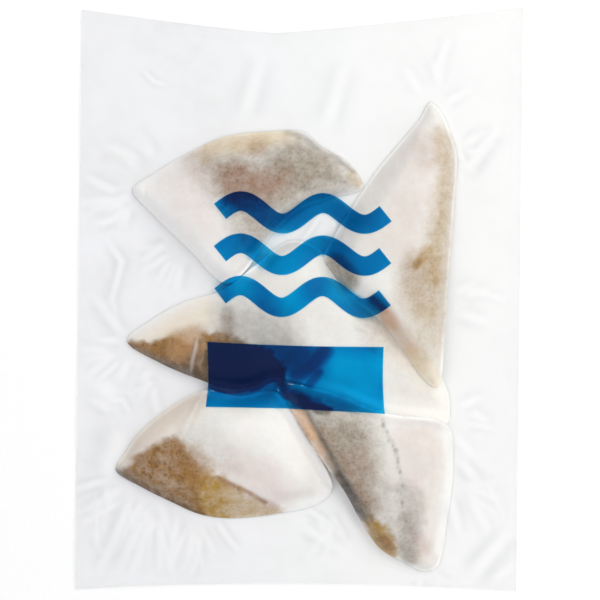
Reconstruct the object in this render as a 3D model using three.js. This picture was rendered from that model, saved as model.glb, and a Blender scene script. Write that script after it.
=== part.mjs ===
// A clear vacuum pouch that holds five skin-on cod fillets, lying flat with its shown side up.
//
// Units are millimetres and +Z is up. The origin is under the middle of the pouch, on the
// surface that it lies on. +Y runs along the pouch, towards its wide empty end.
//
// The pouch is sealed, so the pack is one closed solid. Its top is the form that the taut film
// takes over the fillets, its rim follows the pouch's four edges, and its underside is flat.

import * as THREE from 'three';

// The pouch. Its long sides are straight and its short edges are drawn in by the vacuum.
const POUCH_WIDTH = 230;
const POUCH_LENGTH = 306; // between the furthest points of the two short edges
const TOP_EDGE_DIP = 12.6;
const TOP_EDGE_TILT = 3.8; // how much lower the left corner lies than the right one
const TOP_EDGE_LOWEST = -0.12; // place of the lowest point, from -1 at the left to 1 at the right
const TOP_EDGE_POWER = 1.2; // 1 would be two straight lines, 2 a parabola
const BOTTOM_EDGE_DIP = 3.5;
const BOTTOM_EDGE_TILT = 1.7;

// The film. Its edge is the two layers with the air and the creases between them.
const EDGE_THICKNESS = 1.2;
const FILM_CURL = 0.17; // curvature, per mm, with which the taut film leaves a fillet
const FILM_SWEEPS = 90;
const ROUNDING_SWEEPS = 1; // how often the tight film is eased over the edges that it touches

// The empty film lies in low waves, and long creases run out from the fillets to its edges.
// A crease has two ends, a height at its first end, from which it fades out, and a half width.
const WAVE_HEIGHT = 0.7;
const WAVE_ACROSS = 61;
const WAVE_ALONG = 74;
const CREASE_FADE = 0.8; // share of its height that a crease loses by its second end
const CREASES = [
  { from: [-84, -102], to: [-103, -146], height: 2.4, width: 3.4 },
  { from: [-74, -107], to: [-84, -148], height: 2.2, width: 3.2 },
  { from: [-62, -112], to: [-66, -146], height: 2, width: 3.2 },
  { from: [-90, -22], to: [-108, 2], height: 2.2, width: 3.4 },
  { from: [-96, -60], to: [-110, -52], height: 1.8, width: 3.2 },
  { from: [-88, 52], to: [-112, 44], height: 2, width: 3.4 },
  { from: [-30, 92], to: [-20, 128], height: 1.8, width: 4 },
  { from: [12, 86], to: [24, 126], height: 1.8, width: 4 },
  { from: [2, -118], to: [26, -132], height: 2.2, width: 3.4 },
  { from: [90, -146], to: [113, -118], height: 2.6, width: 3.2 },
  { from: [84, -82], to: [102, -104], height: 1.8, width: 3.2 },
  { from: [84, 64], to: [104, 92], height: 1.6, width: 4 },
];

// The grid that the top of the pack is worked out on
const COLUMNS = 54;
const ROWS = 72;

// The fillets. Each has a thickness at its crown, a lower rim with a rounded shoulder, and it
// gets thicker towards one side by a share per mm. A fillet that lies on a neighbour is lifted
// towards one of its ends. Outlines run clockwise, in mm from the middle of the pouch.
const OUTLINE_STEPS = 96;
const WALL_WIDTH = 4; // how far out of its outline a fillet's side wall slopes down
const LEAST_SHARE = 0.55;
const MOST_SHARE = 1.3;

const FILLETS = [
  {
    name: 'upper_left',
    thickness: 15,
    rim: 5,
    shoulder: 20,
    thicker: [-0.002, -0.006],
    outline: [
      [-87.5, 55.5], [-77.5, 63.5], [-58, 75.5], [-39.5, 84], [-16, 87], [1, 87], [10, 80],
      [26, 70], [32.5, 58], [15.5, 52], [0, 46], [-13, 34.5], [-33.5, 8.5], [-40.5, 8],
      [-58, 25], [-77, 43],
    ],
  },
  {
    name: 'right',
    thickness: 13.5,
    rim: 5,
    shoulder: 18,
    thicker: [-0.004, -0.002],
    lift: { height: 4.5, from: 60, to: -20 },
    outline: [
      [67, 103], [72.5, 99], [79, 84.5], [81.5, 76], [80, 44.5], [77.5, 10.5], [76, -16.5],
      [72.5, -45.5], [65.5, -41.5], [53, -24.5], [40.5, -9.5], [26.5, 0.5], [18.5, 11.5],
      [12.5, 21.5], [18, 33], [27, 48], [39, 66.5], [49.5, 79.5], [61.5, 94],
    ],
  },
  {
    name: 'middle',
    thickness: 11.5,
    rim: 4,
    shoulder: 22,
    thicker: [-0.001, -0.003],
    outline: [
      [-89.5, -23], [-77.5, -12.5], [-61, -3], [-40, 4], [-23, 17], [-6, 30], [7, 28],
      [24, 12], [44, -6], [62, -26], [76, -42], [79.5, -55], [77.5, -64], [53.5, -60],
      [27, -50.5], [1, -41.5], [-14, -41.5], [-22.5, -46], [-36.5, -47.5], [-51, -43],
      [-72, -34.5],
    ],
  },
  {
    name: 'lower_left',
    thickness: 14,
    rim: 4.5,
    shoulder: 20,
    thicker: [-0.001, 0.005],
    outline: [
      [-94.5, -90.5], [-89.5, -81], [-83, -71.5], [-72, -61.5], [-49, -48.5], [-30, -51],
      [-17.5, -48.5], [-8, -50], [2, -66], [13, -84], [18.5, -99.5], [11, -107],
      [-8.5, -112], [-34.5, -115], [-50.5, -113], [-66, -106.5], [-81.5, -99],
    ],
  },
  {
    name: 'lower_right',
    thickness: 15.5,
    rim: 5,
    shoulder: 18,
    thicker: [-0.008, 0],
    outline: [
      [-10.5, -45.5], [11.5, -48.5], [45.5, -61.5], [77.5, -66.5], [81.5, -86], [79, -112],
      [74, -138.5], [67, -141.5], [54.5, -136], [44, -130], [34.5, -117], [25, -100.5],
      [14.5, -84], [1.5, -60.5],
    ],
  },
];

// The shallow unevenness of the fillets' upper faces
const SWELL_HEIGHT = 0.5;
const SWELL_ACROSS = 38;
const SWELL_ALONG = 31;

// The Y of the pouch's top edge at u, from -1 at the left side to 1 at the right. It falls from
// both corners to its lowest point, nearly in straight lines.
function topEdge(u) {
  const corners = POUCH_LENGTH / 2 - (TOP_EDGE_TILT * (1 - u)) / 2;
  const reach = u < TOP_EDGE_LOWEST ? 1 + TOP_EDGE_LOWEST : 1 - TOP_EDGE_LOWEST;
  const out = Math.abs(u - TOP_EDGE_LOWEST) / reach;
  return corners - TOP_EDGE_DIP * (1 - out ** TOP_EDGE_POWER);
}

// The Y of the pouch's bottom edge at u: a shallow parabola between its corners.
function bottomEdge(u) {
  const corners = -POUCH_LENGTH / 2 + (BOTTOM_EDGE_TILT * (1 + u)) / 2;
  return corners + BOTTOM_EDGE_DIP * (1 - u * u);
}

// A smooth closed outline through a fillet's corner points.
function smoothOutline(corners) {
  const points = corners.map(flatPoint);
  const curve = new THREE.CatmullRomCurve3(points, true, 'centripetal');
  return curve.getPoints(OUTLINE_STEPS).slice(0, OUTLINE_STEPS);
}

// Distance from a point to a closed outline, positive inside it and negative outside.
function depthInside(outline, x, y) {
  let nearest = Infinity;
  let inside = false;
  outline.forEach((a, index) => {
    const b = outline[(index + 1) % outline.length];
    const across = b.x - a.x;
    const along = b.y - a.y;
    const share = ((x - a.x) * across + (y - a.y) * along) / (across ** 2 + along ** 2);
    const held = THREE.MathUtils.clamp(share, 0, 1);
    nearest = Math.min(nearest, Math.hypot(x - a.x - held * across, y - a.y - held * along));
    if (a.y > y !== b.y > y && x < a.x + ((y - a.y) / along) * across) {
      inside = !inside;
    }
  });
  return inside ? nearest : -nearest;
}

// The middle of an outline's own box, from which a fillet's thickness is shared out.
function middleOf(outline) {
  return new THREE.Box3().setFromPoints(outline).getCenter(new THREE.Vector3());
}

// Height of a fillet's upper face over a point, or 0 beside it. From the rim a round shoulder
// rises to the full thickness, which grows towards the fillet's thick side. Outside the rim the
// side wall slopes down to the surface that the pouch lies on.
function filletHeight(fillet, x, y) {
  const depth = depthInside(fillet.smooth, x, y);
  if (depth <= -WALL_WIDTH) {
    return 0;
  }
  const [across, along] = fillet.thicker;
  const grown = 1 + across * (x - fillet.middle.x) + along * (y - fillet.middle.y);
  const share = THREE.MathUtils.clamp(grown, LEAST_SHARE, MOST_SHARE);
  const short = THREE.MathUtils.clamp(1 - depth / fillet.shoulder, 0, 1);
  const crown = (fillet.thickness - fillet.rim) * (1 - short ** 2);
  const full = liftUnder(fillet, y) + share * (fillet.rim + crown);
  return depth < 0 ? full * (1 + depth / WALL_WIDTH) : full;
}

// How high a fillet's underside lies, where one end of it rests on its neighbour.
function liftUnder(fillet, y) {
  if (!fillet.lift) {
    return 0;
  }
  const { height, from, to } = fillet.lift;
  return height * THREE.MathUtils.clamp((y - from) / (to - from), 0, 1);
}

// Height of the empty film over a point: low waves, and the creases, each a rounded ridge.
function emptyFilmHeight(x, y) {
  const across = Math.sin((2 * Math.PI * x) / WAVE_ACROSS);
  const along = Math.sin((2 * Math.PI * y) / WAVE_ALONG);
  let height = EDGE_THICKNESS + (WAVE_HEIGHT * (1 + across * along)) / 2;
  CREASES.forEach((crease) => {
    const run = new THREE.Line3(flatPoint(crease.from), flatPoint(crease.to));
    const place = flatPoint([x, y]);
    const share = run.closestPointToPointParameter(place, true);
    const off = place.distanceTo(run.at(share, new THREE.Vector3())) / crease.width;
    height += crease.height * (1 - CREASE_FADE * share) * Math.exp(-off * off);
  });
  return height;
}

function flatPoint([x, y]) {
  return new THREE.Vector3(x, y, 0);
}

// The highest fillet over a point, with the shallow unevenness of flesh and skin.
function contentsHeight(fillets, x, y) {
  const height = Math.max(...fillets.map((fillet) => filletHeight(fillet, x, y)));
  if (height === 0) {
    return 0;
  }
  const across = Math.sin((2 * Math.PI * x) / SWELL_ACROSS);
  const along = Math.cos((2 * Math.PI * y) / SWELL_ALONG);
  return height + SWELL_HEIGHT * across * along;
}

function gridIndex(column, row) {
  return row * (COLUMNS + 1) + column;
}

// Places on the pack's top, row by row from the bottom edge, before they get their heights.
function gridPlaces() {
  const places = [];
  for (let row = 0; row <= ROWS; row += 1) {
    for (let column = 0; column <= COLUMNS; column += 1) {
      const u = (2 * column) / COLUMNS - 1;
      const x = (u * POUCH_WIDTH) / 2;
      const y = THREE.MathUtils.lerp(bottomEdge(u), topEdge(u), row / ROWS);
      places.push(new THREE.Vector3(x, y, emptyFilmHeight(x, y)));
    }
  }
  return places;
}

// Carries out one sweep over the inner places of the grid, where a rule gives a place's new
// height from the mean of its four neighbours and its own number.
function sweepGrid(heights, rule) {
  for (let row = 1; row < ROWS; row += 1) {
    for (let column = 1; column < COLUMNS; column += 1) {
      const here = gridIndex(column, row);
      const beside = heights[here - 1] + heights[here + 1];
      const endwise = heights[gridIndex(column, row - 1)] + heights[gridIndex(column, row + 1)];
      heights[here] = rule((beside + endwise) / 4, here);
    }
  }
}

// The taut film. Between the fillets it is a stretched skin: each place hangs a little under
// the mean of its neighbours, unless a fillet or the lower film holds it up. It is then eased
// over the edges that it touches.
function stretchFilm(places, fillets) {
  const cell = POUCH_WIDTH / COLUMNS;
  const drop = (FILM_CURL * cell * cell) / 4;
  const held = places.map(({ x, y, z }) => Math.max(z, contentsHeight(fillets, x, y)));
  const film = held.slice();
  for (let sweep = 0; sweep < FILM_SWEEPS; sweep += 1) {
    sweepGrid(film, (mean, here) => Math.max(held[here], mean - drop));
  }
  for (let sweep = 0; sweep < ROUNDING_SWEEPS; sweep += 1) {
    sweepGrid(film, (mean, here) => (film[here] + mean) / 2);
  }
  places.forEach((place, index) => {
    place.z = film[index];
  });
}

// Grid numbers of the places on the rim, counterclockwise from the bottom left corner.
function rimOfGrid() {
  const rim = [];
  for (let column = 0; column < COLUMNS; column += 1) {
    rim.push(gridIndex(column, 0));
  }
  for (let row = 0; row < ROWS; row += 1) {
    rim.push(gridIndex(COLUMNS, row));
  }
  for (let column = COLUMNS; column > 0; column -= 1) {
    rim.push(gridIndex(column, ROWS));
  }
  for (let row = ROWS; row > 0; row -= 1) {
    rim.push(gridIndex(0, row));
  }
  return rim;
}

// Two triangles for each cell of the top, split along the diagonal that is the more level, so
// that the ridges run smooth.
function topFaces(places) {
  const faces = [];
  for (let row = 0; row < ROWS; row += 1) {
    for (let column = 0; column < COLUMNS; column += 1) {
      const a = gridIndex(column, row);
      const b = gridIndex(column + 1, row);
      const c = gridIndex(column + 1, row + 1);
      const d = gridIndex(column, row + 1);
      const rising = Math.abs(places[a].z - places[c].z);
      const falling = Math.abs(places[b].z - places[d].z);
      const pair = rising < falling ? [a, b, c, a, c, d] : [a, b, d, b, c, d];
      faces.push(...pair);
    }
  }
  return faces;
}

// The pack: the film's top, a thin upright rim, and a flat underside fanned from one point.
function packGeometry() {
  const fillets = FILLETS.map((fillet) => {
    const smooth = smoothOutline(fillet.outline);
    return { ...fillet, smooth, middle: middleOf(smooth) };
  });
  const places = gridPlaces();
  stretchFilm(places, fillets);

  const rim = rimOfGrid();
  const firstFoot = places.length;
  const feet = rim.map((index) => new THREE.Vector3(places[index].x, places[index].y, 0));
  const underMiddle = firstFoot + feet.length;
  const faces = topFaces(places);
  rim.forEach((top, index) => {
    const next = (index + 1) % rim.length;
    const foot = firstFoot + index;
    const nextFoot = firstFoot + next;
    faces.push(foot, nextFoot, rim[next], foot, rim[next], top);
    faces.push(underMiddle, nextFoot, foot);
  });

  const corners = [...places, ...feet, new THREE.Vector3(0, 0, 0)];
  const geometry = new THREE.BufferGeometry().setFromPoints(corners);
  geometry.setIndex(faces);
  geometry.computeVertexNormals();
  return geometry;
}

const finish = { color: 0xded7cc, roughness: 0.25, metalness: 0 };
const pack = new THREE.Mesh(packGeometry(), new THREE.MeshStandardMaterial(finish));
pack.name = 'fillet_pack';

const group = new THREE.Group();
group.add(pack);

export default group;
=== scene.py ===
import math

import bpy
import numpy as np
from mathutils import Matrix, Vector


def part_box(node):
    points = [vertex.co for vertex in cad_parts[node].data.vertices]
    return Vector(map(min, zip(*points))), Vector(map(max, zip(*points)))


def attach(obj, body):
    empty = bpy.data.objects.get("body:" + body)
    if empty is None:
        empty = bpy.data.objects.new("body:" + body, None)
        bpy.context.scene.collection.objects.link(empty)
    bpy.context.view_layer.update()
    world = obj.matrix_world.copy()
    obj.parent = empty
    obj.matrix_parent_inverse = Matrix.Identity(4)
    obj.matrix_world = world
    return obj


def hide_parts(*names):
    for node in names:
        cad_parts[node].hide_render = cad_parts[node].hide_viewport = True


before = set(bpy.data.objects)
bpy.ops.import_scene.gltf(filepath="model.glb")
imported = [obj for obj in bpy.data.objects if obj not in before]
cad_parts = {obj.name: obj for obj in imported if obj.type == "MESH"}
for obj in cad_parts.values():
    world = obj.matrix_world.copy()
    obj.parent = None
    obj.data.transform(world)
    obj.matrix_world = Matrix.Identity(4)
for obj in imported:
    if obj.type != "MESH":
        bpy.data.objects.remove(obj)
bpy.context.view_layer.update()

# A clear vacuum pouch that lies flat, with five skin-on cod fillets pressed under its film and
# a blue print on the film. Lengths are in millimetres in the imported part's own frame, and MM
# turns them to metres where a mesh or a pattern is made.

MM = 0.001
NODE = "fillet_pack"
NODE_LOW, NODE_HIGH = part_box(NODE)

# The pouch's four edges, as in the solid that it stands for
POUCH_WIDTH = (NODE_HIGH[0] - NODE_LOW[0]) / MM
POUCH_LENGTH = (NODE_HIGH[1] - NODE_LOW[1]) / MM
TOP_EDGE_DIP = 12.6
TOP_EDGE_TILT = 3.8
TOP_EDGE_LOWEST = -0.12
TOP_EDGE_POWER = 1.2
BOTTOM_EDGE_DIP = 3.5
BOTTOM_EDGE_TILT = 1.7

# The film, and the low waves and the main creases that it lies in where it is empty
FILM_COLUMNS = 264
FILM_ROWS = 352
FILM_CURL = 0.17  # curvature, per mm, with which the taut film leaves a fillet
FILM_SWEEPS = 2200
FILM_GAP = 0.15  # between the film and what it is drawn against
FILLET_FLOOR = 0.25  # height of the fillets' undersides over the lower film
EDGE_GAP = 0.35  # between the two films at the sealed rim
WAVE_HEIGHT = 0.7
WAVE_ACROSS = 61
WAVE_ALONG = 74
WAVE_FROM = 0.8  # share of the way from the middle to the rim at which the waves begin
LOWER_SHARES = np.array([1, 0.99, 0.9, 0.8, 0.4])  # of that way, for the lower film's rings
RIM_FLAT = 6  # mm in from the rim over which creases and crinkles flatten out
SEAL_WIDTH = 6
SEAL_FADE = 1.5

# Uneven layers: the height or reach in mm of each, the size in mm of its bumps, and its seed
CRINKLES = [(0.35, 9, 21), (0.16, 4, 22)]
DIMPLES = [(0.22, 7, 3), (0.1, 3, 4)]
FRAYS = [(1.3, 4, 31), (0.78, 1.8, 32)]
LATTICE = 256  # points along each side of the square that the random fields come from
LATTICE_MIDDLE = (128.37, 128.61)  # where the pack's middle lies on it
CRINKLE_SOFT = 0.1  # mm by which the crinkles' sharp valleys are rounded
CRINKLE_TAUT = 0.3  # share of the crinkles that is left where the film is taut over flesh
LOOSE_OVER = 6  # mm of air under the film at which they are whole
HAZE_FROM = 1  # mm of air under the film at which it starts to look milky
HAZE_OVER = 8  # and over how much more it gets there

# Fillets: each has its outline as the photograph shows it, the heart that its rings close on, its
# thickness, rim and shoulder, the side that it grows thicker to, how wide the knife's slanted cut
# is and where it faces, and where the belly thins out. The lifted one has the height that its
# end rests at on its neighbours, and the y where its underside starts to rise and has risen.
LEAST_SHARE = 0.55
MOST_SHARE = 1.3
SWELL_HEIGHT = 0.5
SWELL_ACROSS = 38
SWELL_ALONG = 31
RELIEF_FROM = 5  # mm in from the outline at which the relief is whole
SOFT_PASSES = 180
SOFT_MARGIN = 3  # mm of the eased depth's grid round an outline
FACING_FROM = 0.35  # cosines of how squarely a place looks to a side: where that starts to count,
FACING_OVER = 0.45  # and over how much more it counts in full
THIN_REACH = 14  # how far in from the outline the belly is thin
SIDE_ROUNDING = 2.5  # power of the round side
THINNED = 0.72  # share of the rim's height that is missing there
THIN_CROWN = 0.6  # share of the crown that is missing there
TOUCH_DEPTH = 5  # mm by which a side that leans on a neighbour counts as lying deeper inside
TOUCH_REACH = 6  # distance from the neighbour at which that ends
OUTLINE_POINTS = 320
CURVE_STEPS = 24  # between two corners of a smooth outline
OVERLAP = 0.2  # by which two fillets that lean on each other are pressed together
PRESSED_GAP = 0.1  # under the lifted fillet
PRESSED_SLOPE = 1  # of a fillet's face where its neighbour's edge presses it down
RINGS = 70
UNDER_FILLET_RINGS = 12

FILLETS = {
    "upper_left": dict(
        heart=(-35, 50),
        thickness=15, rim=5, shoulder=20, thicker=(-0.002, -0.006), middle=(-27, 52),
        cut_side=(-0.62, -0.78), cut_width=8, wall=7,
        thin_side=(-0.5, 0.87),
        outline=[
            (-87.5, 55.5), (-77.5, 63.5), (-58, 75.5), (-39.5, 84), (-16, 87), (1, 87),
            (10, 80), (26, 70), (32.5, 58), (15.5, 52), (0, 46), (-13, 34.5),
            (-33.5, 8.5), (-40.5, 8), (-58, 25), (-77, 43),
        ],
    ),
    "right": dict(
        heart=(55, 30),
        thickness=13.5, rim=5, shoulder=18, thicker=(-0.004, -0.002), middle=(54, 32),
        cut_side=(-0.72, -0.69), cut_width=7, wall=7,
        thin_side=(-1, 0.1),
        lift=(3.5, 60, -20),
        outline=[
            (67, 103), (72.5, 99), (79, 84.5), (81.5, 76), (80, 44.5), (77.5, 10.5),
            (76, -16.5), (72.5, -45.5), (65.5, -41.5), (53, -24.5), (40.5, -9.5),
            (26.5, 0.5), (18.5, 11.5), (12.5, 21.5), (18, 33), (27, 48), (39, 66.5),
            (49.5, 79.5), (61.5, 94),
        ],
    ),
    "middle": dict(
        heart=(-5, -10),
        thickness=11.5, rim=4, shoulder=22, thicker=(-0.001, -0.003), middle=(-5, -16),
        cut_side=(-0.5, 0.86), cut_width=9, wall=7,
        thin_side=(1, -0.2),
        outline=[
            (-89.5, -23), (-77.5, -12.5), (-61, -3), (-40, 4), (-23, 17), (-6, 30),
            (7, 28), (24, 12), (44, -6), (62, -26), (76, -42), (79.5, -55), (77.5, -64),
            (53.5, -62.5), (27, -53.5), (1, -43.5), (-14, -41.5), (-22.5, -46),
            (-36.5, -47.5), (-51, -43), (-72, -34.5),
        ],
    ),
    "lower_left": dict(
        heart=(-35, -83),
        thickness=14, rim=4.5, shoulder=20, thicker=(-0.001, 0.005), middle=(-36, -82),
        cut_side=(-0.62, 0.78), cut_width=11, wall=7,
        thin_side=(0.4, -0.92),
        outline=[
            (-94.5, -90.5), (-89.5, -81), (-83, -71.5), (-72, -61.5), (-49, -48.5),
            (-30, -51), (-17.5, -48.5), (-8, -50), (2, -66), (13, -84), (18.5, -99.5),
            (11, -107), (-8.5, -112), (-34.5, -115), (-50.5, -113), (-66, -106.5),
            (-81.5, -99),
        ],
    ),
    "lower_right": dict(
        heart=(45, -90),
        thickness=15.5, rim=5, shoulder=18, thicker=(-0.008, 0), middle=(42, -90),
        cut_side=(-0.9, -0.44), cut_width=6, wall=7,
        thin_side=(1, 0),
        outline=[
            (-10.5, -45.5), (11.5, -46.5), (45.5, -58.5), (78, -65), (81.5, -86),
            (79, -112), (74, -138.5), (67, -141.5), (54.5, -136), (44, -130),
            (34.5, -117), (25, -100.5), (13.3, -84), (-1.5, -60.5),
        ],
    ),
}

# Where a table from here on says so, its places are pixels of the photograph's 600 x 600 frame,
# and on_pack turns them to mm.
PHOTO_MIDDLE = (299, 298.54)  # the pixel that the pouch's middle lies at
POUCH_PIXELS = 441  # width of the pouch
PHOTO_TURN = 0.69  # degrees that the pouch is turned by

# Where the skin and the flesh change colour. A patch is a channel, its strength, the width in mm
# over which it fades, and its closed outline in pixels. A stroke has the radius in mm that it
# fills as well, and an open path in pixels.
PATCHES = {
    "upper_left": [
        ("grey", 0.6, 18, [
            (213, 163), (230, 160), (256, 158), (280, 149), (302, 138), (322, 150), (340, 166),
            (350, 186), (318, 194), (296, 206), (272, 230), (248, 244), (236, 226), (224, 204),
            (217, 182)]),
        ("grey", 0.2, 16, [
            (184, 158), (200, 153), (222, 152), (232, 180), (216, 206), (202, 192),
            (192, 174)]),
        ("rust", 0.08, 12, [
            (192, 166), (214, 160), (224, 180), (214, 200), (202, 188)]),
        ("rust", 0.56, 11, [
            (220, 173), (236, 164), (262, 174), (292, 174), (280, 194), (250, 206), (232, 208),
            (221, 193)]),
        ("grey", 0.38, 12, [
            (274, 152), (300, 144), (322, 154), (338, 170), (336, 186), (310, 188),
            (280, 182)]),
        ("cream", 0.7, 9, [
            (200, 146), (224, 134), (250, 128), (290, 127), (300, 142), (262, 150), (226, 158),
            (204, 162)]),
        ("gold", 0.06, 9, [
            (200, 150), (224, 137), (250, 131), (290, 130), (296, 144), (262, 152), (226, 156),
            (206, 162)]),
        ("pink", 0.42, 20, [
            (160, 184), (180, 172), (204, 180), (215, 215), (215, 240), (190, 225)]),
        # bright belly, with painted light where this side faces away from the key light
        ("white", 1.0, 20, [
            (120, 190), (160, 160), (200, 160), (208, 200), (226, 250), (220, 300),
            (160, 240)]),
    ],
    "right": [
        ("gold", 0.5, 10, [
            (436, 130), (446, 140), (448, 200), (445, 262), (436, 290), (422, 268), (428, 225),
            (436, 180)]),
        ("grey", 0.12, 14, [
            (438, 190), (446, 220), (446, 330), (434, 340), (420, 320), (408, 300), (394, 280),
            (404, 262), (424, 240)]),
        ("gold", 0.4, 14, [
            (404, 260), (436, 262), (440, 306), (424, 320), (402, 300)]),
        ("gold", 0.28, 12, [
            (410, 310), (438, 306), (440, 352), (424, 362)]),
        ("rust", 0.16, 12, [
            (408, 250), (434, 262), (432, 296), (412, 304), (396, 284)]),
        ("pink", 0.35, 20, [
            (424, 122), (440, 150), (430, 220), (400, 262), (372, 250), (384, 190)]),
        ("rust", 0.14, 10, [
            (416, 140), (436, 142), (438, 166), (418, 166)]),
    ],
    "middle": [
        ("brown", 0.96, 4, [
            (126, 343), (148, 343), (164, 340), (176, 338), (190, 344), (202, 336),
            (214, 332), (236, 338), (266, 350), (284, 364), (286, 380), (270, 390),
            (244, 392), (222, 395), (200, 388), (186, 384), (170, 376), (150, 368),
            (134, 358)]),
        ("deep", 0.6, 8, [
            (140, 358), (170, 362), (200, 370), (230, 382), (230, 400), (190, 392),
            (150, 372)]),
        ("deep", 1.0, 8, [
            (214, 346), (250, 344), (270, 356), (280, 372), (268, 386), (240, 390),
            (214, 392)]),
        ("spot", 0.62, 18, [
            (218, 306), (260, 308), (286, 318), (300, 340), (298, 364), (284, 374),
            (244, 352), (218, 330)]),
        ("deep", 0.26, 12, [
            (262, 344), (290, 344), (308, 352), (298, 372), (276, 372)]),
        ("deep", 0.75, 3, [
            (266, 366), (286, 381), (308, 395), (320, 402), (312, 405), (294, 400),
            (274, 388)]),
        ("cream", 0.14, 14, [
            (392, 392), (462, 396), (462, 424), (410, 420), (388, 412)]),
        # bright belly, with painted light so that this edge fades without shade
        ("white", 1.0, 10, [
            (120, 338), (146, 312), (180, 292), (222, 276), (222, 298), (184, 312),
            (150, 330)]),
        ("cream", 0.55, 14, [
            (134, 343), (154, 327), (184, 308), (214, 298), (214, 322), (176, 338)]),
        # painted shadow of the lifted fillet's lower-left edge on this one, brownish grey
        ("gold", 0.12, 12, [
            (360, 306), (376, 318), (398, 344), (420, 374), (404, 376), (380, 354),
            (360, 330)]),
        ("grey", 0.2, 12, [
            (360, 306), (380, 318), (400, 350), (384, 350), (362, 332)]),
    ],
    "lower_left": [
        ("brown", 0.9, 5, [
            (124, 471), (131, 461), (149, 447), (164, 440), (177, 435), (187, 445),
            (196, 458), (200, 474), (202, 500), (204, 526), (190, 520), (168, 510),
            (146, 498), (124, 484)]),
        ("gold", 0.8, 9, [
            (184, 462), (214, 474), (226, 482), (224, 524), (206, 528), (190, 500)]),
        ("gold", 0.62, 6, [
            (196, 468), (216, 474), (228, 480), (246, 491), (264, 502), (284, 512),
            (262, 526), (236, 530), (206, 528)]),
        ("gold", 0.3, 9, [
            (180, 436), (204, 448), (216, 470), (206, 478), (186, 460)]),
        ("rust", 0.4, 8, [
            (178, 440), (200, 452), (212, 476), (196, 488), (176, 466)]),
        ("deep", 0.28, 6, [
            (128, 478), (142, 476), (176, 496), (196, 508), (196, 522), (170, 510),
            (140, 494)]),
        ("grey", 0.15, 14, [
            (186, 424), (224, 436), (240, 470), (210, 462), (184, 442)]),
        # bright belly, with painted light on this pale side
        ("white", 0.6, 16, [
            (236, 412), (296, 418), (312, 450), (300, 480), (262, 450), (230, 430)]),
        ("pink", 0.6, 20, [
            (222, 455), (262, 460), (292, 494), (280, 504), (250, 486), (228, 474)]),
        ("cream", 0.3, 16, [
            (122, 462), (128, 440), (150, 416), (182, 398), (204, 398), (180, 430),
            (150, 446)]),
    ],
    "lower_right": [
        ("grey", 0.35, 12, [
            (272, 372), (300, 384), (340, 396), (368, 408), (378, 430), (386, 462),
            (394, 500), (400, 546), (402, 566), (392, 540), (374, 514), (350, 516),
            (330, 478), (310, 440), (290, 400)]),
        ("grey", 0.36, 10, [
            (300, 400), (336, 408), (358, 418), (368, 440), (372, 470), (376, 510), (366, 520),
            (344, 500), (326, 460), (308, 425)]),
        ("deep", 0.75, 3, [
            (266, 368), (284, 381), (310, 397), (332, 408), (324, 411), (300, 409),
            (284, 396)]),
        ("spot", 0.3, 8, [
            (398, 470), (410, 486), (420, 494), (420, 530), (414, 560), (404, 560),
            (398, 520)]),
        ("grey", 0.42, 7, [
            (334, 424), (352, 420), (364, 434), (354, 446), (338, 442)]),
        ("rust", 0.22, 10, [
            (344, 446), (368, 452), (372, 486), (380, 516), (362, 504), (350, 474)]),
        ("pink", 0.4, 16, [
            (398, 424), (440, 430), (436, 500), (430, 560), (410, 556), (404, 490)]),
        ("gold", 0.9, 5, [
            (362, 516), (372, 514), (386, 526), (396, 545), (394, 562), (378, 552),
            (366, 532)]),
        ("grey", 0.2, 10, [
            (404, 476), (418, 486), (422, 520), (410, 530), (400, 500)]),
    ],
}
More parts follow.
